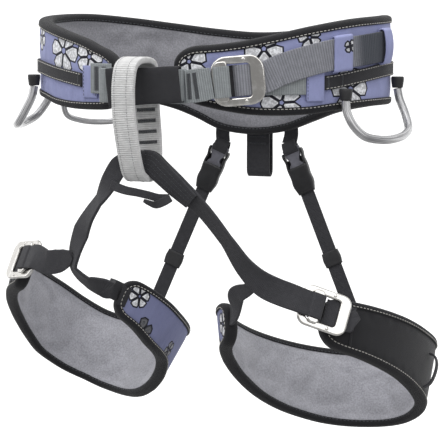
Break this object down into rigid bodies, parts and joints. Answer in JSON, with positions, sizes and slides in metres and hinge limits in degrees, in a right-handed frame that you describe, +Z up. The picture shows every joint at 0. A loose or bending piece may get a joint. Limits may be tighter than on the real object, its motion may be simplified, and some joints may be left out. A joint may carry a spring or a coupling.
{
  "type": "climbing harness",
  "caption": "Padded climbing harness: a waist belt with belay loop, gear loops and haul loop, and two adjustable leg loops hung on elastic risers with side-release clips.",
  "frame": {"origin": "middle of the waist opening, level with the gear tape at the sides", "axes": "+Z up as worn, the belay loop faces -Y, +X towards the side that carries the waist buckle"},
  "size_m": [0.3615, 0.2606, 0.3282],
  "materials": {
    "fabric_violet": "printed cloth",
    "lining_grey": "brushed mesh",
    "foam": "closed-cell foam",
    "binding_black": "smooth tape",
    "web_black": "woven webbing",
    "web_grey": "ribbed webbing",
    "web_dark_grey": "ribbed webbing",
    "web_pale": "dense webbing",
    "aluminium": "polished",
    "tube_silver": "clear sleeve over cord",
    "clip_grey": "moulded",
    "clip_black": "moulded"
  },
  "bodies": {
    "waist": {"waist_foam": "foam", "waist_lining": "lining_grey", "waist_shell": "fabric_violet", "waist_binding": "binding_black", "gear_tape": "web_black", "tunnel_left": "fabric_violet", "tunnel_right": "fabric_violet", "anchor_left": "web_grey", "anchor_right": "web_grey", "tie_in_webbing": "web_grey", "tie_in_sleeve": "web_black", "waist_buckle_frame": "aluminium", "buckle_strap": "web_grey", "waist_tail": "web_dark_grey", "keeper_front": "fabric_violet", "keeper_side": "fabric_violet", "leg_tie_in": "web_black", "cross_strap": "web_black"},
    "waist_slider": {"waist_buckle_slider": "aluminium"},
    "belay_loop": {"belay_loop": "web_pale"},
    "haul_loop": {"haul_loop": "web_black"},
    "gear_loop_front_right": {"gear_loop_front_right": "tube_silver", "gear_loop_front_right_sleeve_a": "web_black", "gear_loop_front_right_sleeve_b": "web_black"},
    "gear_loop_rear_left": {"gear_loop_rear_left": "tube_silver"},
    "gear_loop_front_left": {"gear_loop_front_left": "tube_silver", "gear_loop_front_left_sleeve_a": "web_black", "gear_loop_front_left_sleeve_b": "web_black"},
    "leg_right": {"leg_foam_right": "foam", "leg_lining_right": "lining_grey", "lateral_panel_right": "web_black", "leg_shell_right": "fabric_violet", "leg_binding_right": "binding_black", "tool_loop_right": "web_black", "leg_buckle_frame_right": "aluminium", "front_strap_right": "web_black", "branch_strap_right": "web_black", "riser_web_right": "web_black", "clip_plug_right": "clip_grey", "riser_strap_right": "web_black"},
    "leg_slider_right": {"leg_buckle_slider_right": "aluminium"},
    "clip_socket_right": {"clip_socket_right": "clip_black"},
    "riser_keeper_right": {"riser_keeper_right": "web_black"},
    "leg_left": {"leg_foam_left": "foam", "leg_lining_left": "lining_grey", "lateral_panel_left": "web_black", "leg_shell_left": "fabric_violet", "leg_binding_left": "binding_black", "tool_loop_left": "web_black", "leg_buckle_frame_left": "aluminium", "front_strap_left": "web_black", "branch_strap_left": "web_black", "riser_web_left": "web_black", "clip_plug_left": "clip_grey", "riser_strap_left": "web_black"},
    "leg_slider_left": {"leg_buckle_slider_left": "aluminium"},
    "clip_socket_left": {"clip_socket_left": "clip_black"},
    "riser_keeper_left": {"riser_keeper_left": "web_black"}
  },
  "joints": [
    {"name": "belay_loop_turn", "type": "hinge", "parent": "waist", "child": "belay_loop", "pos_m": [-0.012, -0.12, -0.037], "axis": [0, 0, 1], "range_deg": [-8, 8]},
    {"name": "haul_loop_lift", "type": "hinge", "parent": "waist", "child": "haul_loop", "pos_m": [-0.004, 0.1114, -0.052], "axis": [1, 0, 0], "range_deg": [0, 75]},
    {"name": "gear_loop_front_right_lift", "type": "hinge", "parent": "waist", "child": "gear_loop_front_right", "pos_m": [0.13604, -0.02107, -0.0126], "axis": [-0.2568, -0.9618, -0.0946], "range_deg": [0, 60]},
    {"name": "gear_loop_rear_left_lift", "type": "hinge", "parent": "waist", "child": "gear_loop_rear_left", "pos_m": [-0.11666, 0.05783, -0.01115], "axis": [0.6486, 0.7594, -0.0512], "range_deg": [0, 60]},
    {"name": "gear_loop_front_left_lift", "type": "hinge", "parent": "waist", "child": "gear_loop_front_left", "pos_m": [-0.13604, -0.02107, -0.0089], "axis": [-0.2579, 0.9662, 0.0042], "range_deg": [0, 60]},
    {"name": "waist_slider_shift", "type": "slide", "parent": "waist", "child": "waist_slider", "axis": [0.948, 0.3054, 0.0896], "range_m": [0, 0.004]},
    {"name": "leg_right_swing", "type": "hinge", "parent": "waist", "child": "leg_right", "pos_m": [-0.012, -0.12, -0.069], "axis": [-0.1579, -0.9856, -0.0604], "range_deg": [0, 20], "deforming": ["cross_strap"]},
    {"name": "leg_slider_right_shift", "type": "slide", "parent": "leg_right", "child": "leg_slider_right", "axis": [0.8165, 0.4618, -0.3465], "range_m": [0, 0.0035]},
    {"name": "clip_right_release", "type": "slide", "parent": "leg_right", "child": "clip_socket_right", "axis": [0.4038, -0.0837, -0.911], "range_m": [0, 0.02]},
    {"name": "riser_keeper_right_shift", "type": "slide", "parent": "leg_right", "child": "riser_keeper_right", "axis": [0.4038, -0.0837, -0.911], "range_m": [-0.008, 0.02]},
    {"name": "leg_left_swing", "type": "hinge", "parent": "waist", "child": "leg_left", "pos_m": [-0.012, -0.12, -0.069], "axis": [-0.0982, 0.9933, 0.0609], "range_deg": [0, 20], "deforming": ["cross_strap"]},
    {"name": "leg_slider_left_shift", "type": "slide", "parent": "leg_left", "child": "leg_slider_left", "axis": [-0.8458, 0.5171, -0.1315], "range_m": [0, 0.0035]},
    {"name": "clip_left_release", "type": "slide", "parent": "leg_left", "child": "clip_socket_left", "axis": [-0.3745, -0.0993, -0.9219], "range_m": [0, 0.02]},
    {"name": "riser_keeper_left_shift", "type": "slide", "parent": "leg_left", "child": "riser_keeper_left", "axis": [-0.3745, -0.0993, -0.9219], "range_m": [-0.008, 0.02]}
  ]
}
